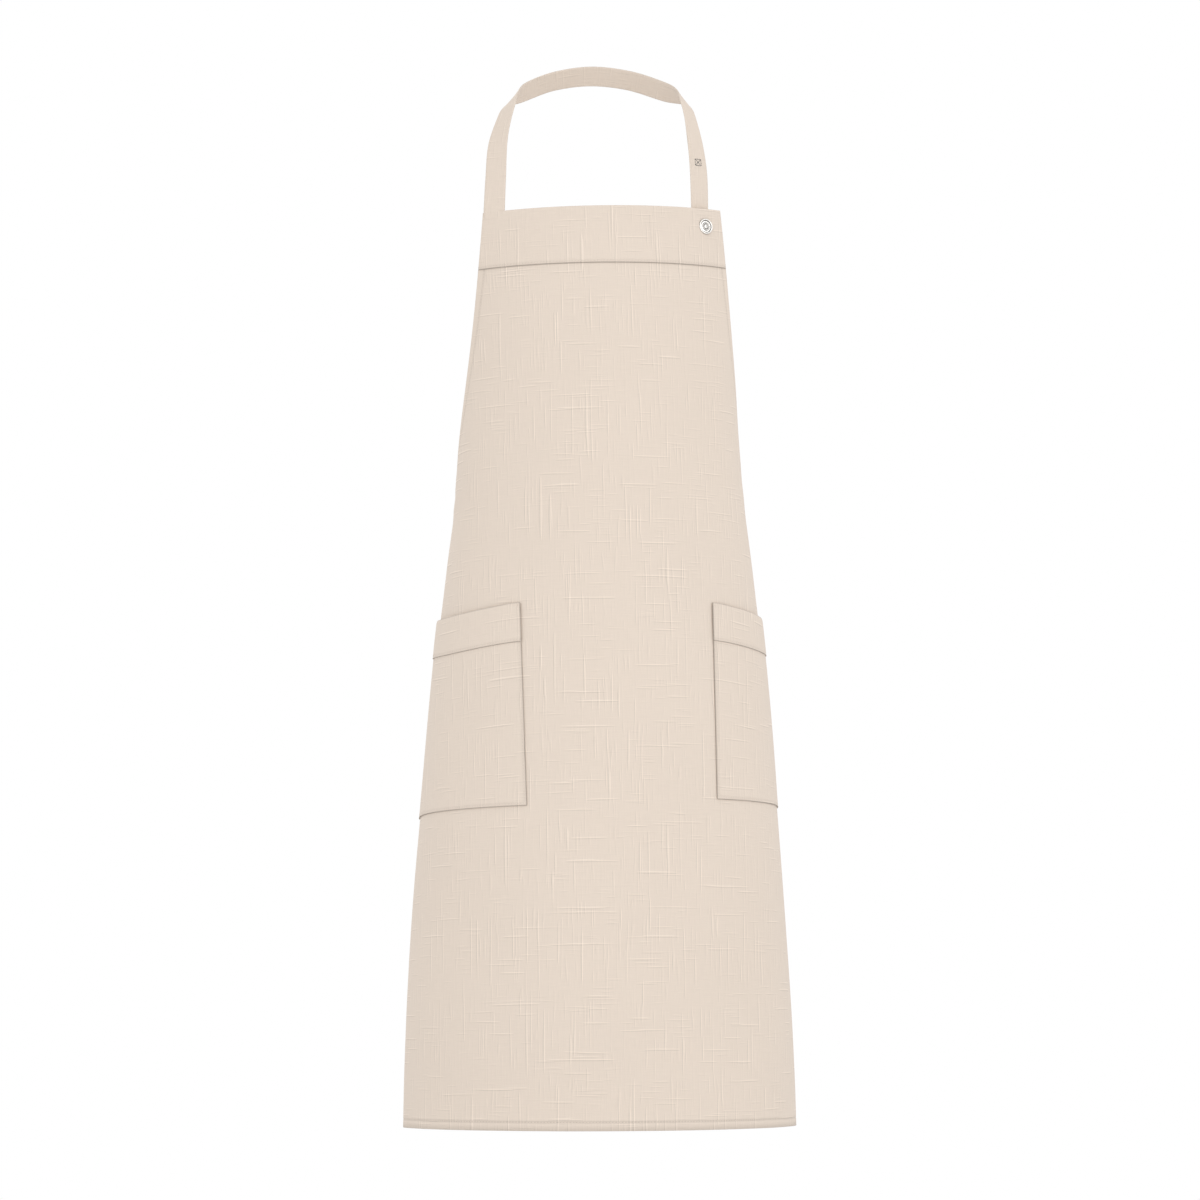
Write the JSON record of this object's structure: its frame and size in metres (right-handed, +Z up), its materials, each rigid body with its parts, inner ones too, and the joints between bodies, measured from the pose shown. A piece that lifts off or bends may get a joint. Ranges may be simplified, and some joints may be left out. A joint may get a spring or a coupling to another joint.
{
  "type": "bib apron",
  "caption": "Linen bib apron in its worn shape, with a banded bib, side pockets, a neck strap closed by a press stud, and waist ties in a bow behind; it hangs by its neck loop.",
  "frame": {"origin": "middle of the inner face of the neck strap at the nape, where the loop bears on a hook or a neck", "axes": "+Z up, the apron's front faces -Y, +X to a viewer's right when looking at the front"},
  "size_m": [0.3906, 0.2934, 1.0771],
  "materials": {
    "cloth": "undyed linen-look slub weave, matt",
    "strap_cloth": "the same cloth folded and edge-stitched into a flat strap",
    "tie_cloth": "the same cloth folded and edge-stitched into flat ties",
    "interfacing": "white woven stiffener, hidden in the bib's band",
    "label": "blank white woven label",
    "nickel": "satin nickel plate",
    "steel": "plain nickelled steel"
  },
  "bodies": {
    "neck_loop": {"neck_strap": "strap_cloth"},
    "panel": {"front_panel": "cloth", "bib_band": "cloth", "bib_facing": "cloth", "bib_interfacing": "interfacing", "left_pocket": "cloth", "left_pocket_band": "cloth", "right_pocket": "cloth", "right_pocket_band": "cloth", "strap_sewn_end": "strap_cloth", "press_stud_cap": "nickel", "press_stud_socket": "steel", "left_waist_tie": "tie_cloth", "right_waist_tie": "tie_cloth", "bow_knot": "tie_cloth", "left_bow_loop": "tie_cloth", "right_bow_loop": "tie_cloth", "care_label": "label"},
    "strap_end": {"strap_tail": "strap_cloth", "press_stud": "nickel", "press_stud_post": "steel", "spare_studs": "nickel", "spare_stud_posts": "steel"},
    "left_tail": {"left_tie_tail": "tie_cloth"},
    "right_tail": {"right_tie_tail": "tie_cloth"}
  },
  "joints": [
    {"name": "panel_swing", "type": "hinge", "parent": "neck_loop", "child": "panel", "pos_m": [0, -0.0975, -0.1317], "axis": [1, 0, 0], "range_deg": [-20, 20]},
    {"name": "stud_release", "type": "slide", "parent": "panel", "child": "strap_end", "axis": [-0.5339, 0.8308, -0.157], "range_m": [0, 0.008]},
    {"name": "left_tail_swing", "type": "hinge", "parent": "panel", "child": "left_tail", "pos_m": [0, 0.0555, -0.5003], "axis": [1, 0, 0], "range_deg": [-20, 60]},
    {"name": "right_tail_swing", "type": "hinge", "parent": "panel", "child": "right_tail", "pos_m": [0, 0.0555, -0.5003], "axis": [1, 0, 0], "range_deg": [-20, 60]}
  ]
}
